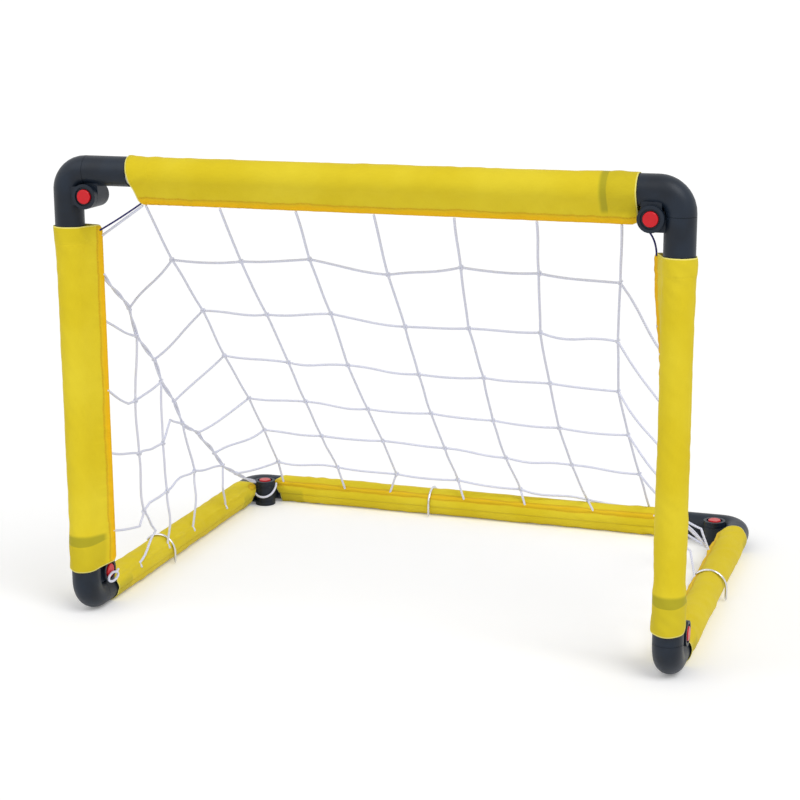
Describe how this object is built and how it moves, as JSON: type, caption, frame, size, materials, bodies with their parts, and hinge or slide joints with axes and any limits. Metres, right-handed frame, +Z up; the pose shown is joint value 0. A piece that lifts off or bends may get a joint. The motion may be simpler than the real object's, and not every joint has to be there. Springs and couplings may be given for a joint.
{
  "type": "folding junior football goal",
  "caption": "Small folding football goal: sleeved tube frame on push-button hinged elbows, with a knotted net and wire ground pegs.",
  "frame": {"origin": "on the ground, under the middle of the goal's bounding box", "axes": "+X to the goal's right seen from the front, +Y from the goal mouth to the rear bar, +Z up"},
  "size_m": [0.6355, 0.4714, 0.4707],
  "materials": {
    "elbow_plastic": "satin",
    "tube_plastic": "satin",
    "button_plastic": "gloss",
    "sleeve_cloth": "satin",
    "net_cord": "matte",
    "lace_cord": "matte",
    "peg_steel": "polished",
    "pin_steel": "brushed",
    "spring_steel": "brushed"
  },
  "bodies": {
    "base": {"base_elbow_bends": "elbow_plastic", "base_elbow_sockets": "elbow_plastic", "base_hinge_pins": "pin_steel", "base_button_springs": "spring_steel", "left_side_tube": "tube_plastic", "right_side_tube": "tube_plastic", "rear_tube": "tube_plastic", "left_side_sleeve": "sleeve_cloth", "right_side_sleeve": "sleeve_cloth", "rear_sleeve": "sleeve_cloth", "left_net": "net_cord", "right_net": "net_cord", "back_net": "net_cord"},
    "front_frame": {"front_frame_elbow_bends": "elbow_plastic", "front_frame_elbow_sockets": "elbow_plastic", "front_frame_hinge_pins": "pin_steel", "front_frame_button_springs": "spring_steel", "crossbar_tube": "tube_plastic", "left_post_tube": "tube_plastic", "right_post_tube": "tube_plastic", "crossbar_sleeve": "sleeve_cloth", "left_post_sleeve": "sleeve_cloth", "right_post_sleeve": "sleeve_cloth", "left_lace": "lace_cord", "right_lace": "lace_cord"},
    "top_left_button": {"top_left_button": "button_plastic"},
    "top_right_button": {"top_right_button": "button_plastic"},
    "front_left_button": {"front_left_button": "button_plastic"},
    "front_right_button": {"front_right_button": "button_plastic"},
    "rear_left_button": {"rear_left_button": "button_plastic"},
    "rear_right_button": {"rear_right_button": "button_plastic"},
    "left_peg": {"left_peg": "peg_steel"},
    "right_peg": {"right_peg": "peg_steel"},
    "rear_peg": {"rear_peg": "peg_steel"}
  },
  "joints": [
    {"name": "front_fold", "type": "hinge", "parent": "base", "child": "front_frame", "pos_m": [0, -0.1958, 0.0392], "axis": [-1, 0, 0], "range_deg": [0, 90], "deforming": ["back_net", "left_net", "right_net"]},
    {"name": "top_left_press", "type": "slide", "parent": "front_frame", "child": "top_left_button", "axis": [0, 1, 0], "range_m": [0, 0.0025], "stiffness_N_per_m": 300, "springref_m": -0.003, "deforming": ["front_frame_button_springs"]},
    {"name": "top_right_press", "type": "slide", "parent": "front_frame", "child": "top_right_button", "axis": [0, 1, 0], "range_m": [0, 0.0025], "stiffness_N_per_m": 300, "springref_m": -0.003, "deforming": ["front_frame_button_springs"]},
    {"name": "front_left_press", "type": "slide", "parent": "front_frame", "child": "front_left_button", "axis": [-1, 0, 0], "range_m": [0, 0.0025], "stiffness_N_per_m": 300, "springref_m": -0.003, "deforming": ["front_frame_button_springs"]},
    {"name": "front_right_press", "type": "slide", "parent": "base", "child": "front_right_button", "axis": [-1, 0, 0], "range_m": [0, 0.0025], "stiffness_N_per_m": 300, "springref_m": -0.003, "deforming": ["base_button_springs"]},
    {"name": "rear_left_press", "type": "slide", "parent": "base", "child": "rear_left_button", "axis": [0, 0, -1], "range_m": [0, 0.0025], "stiffness_N_per_m": 300, "springref_m": -0.003, "deforming": ["base_button_springs"]},
    {"name": "rear_right_press", "type": "slide", "parent": "base", "child": "rear_right_button", "axis": [0, 0, -1], "range_m": [0, 0.0025], "stiffness_N_per_m": 300, "springref_m": -0.003, "deforming": ["base_button_springs"]},
    {"name": "left_peg_pull", "type": "slide", "parent": "base", "child": "left_peg", "axis": [0, 0, -1], "range_m": [-0.06, 0]},
    {"name": "right_peg_pull", "type": "slide", "parent": "base", "child": "right_peg", "axis": [0, 0, -1], "range_m": [-0.06, 0]},
    {"name": "rear_peg_pull", "type": "slide", "parent": "base", "child": "rear_peg", "axis": [0, 0, -1], "range_m": [-0.06, 0]}
  ]
}
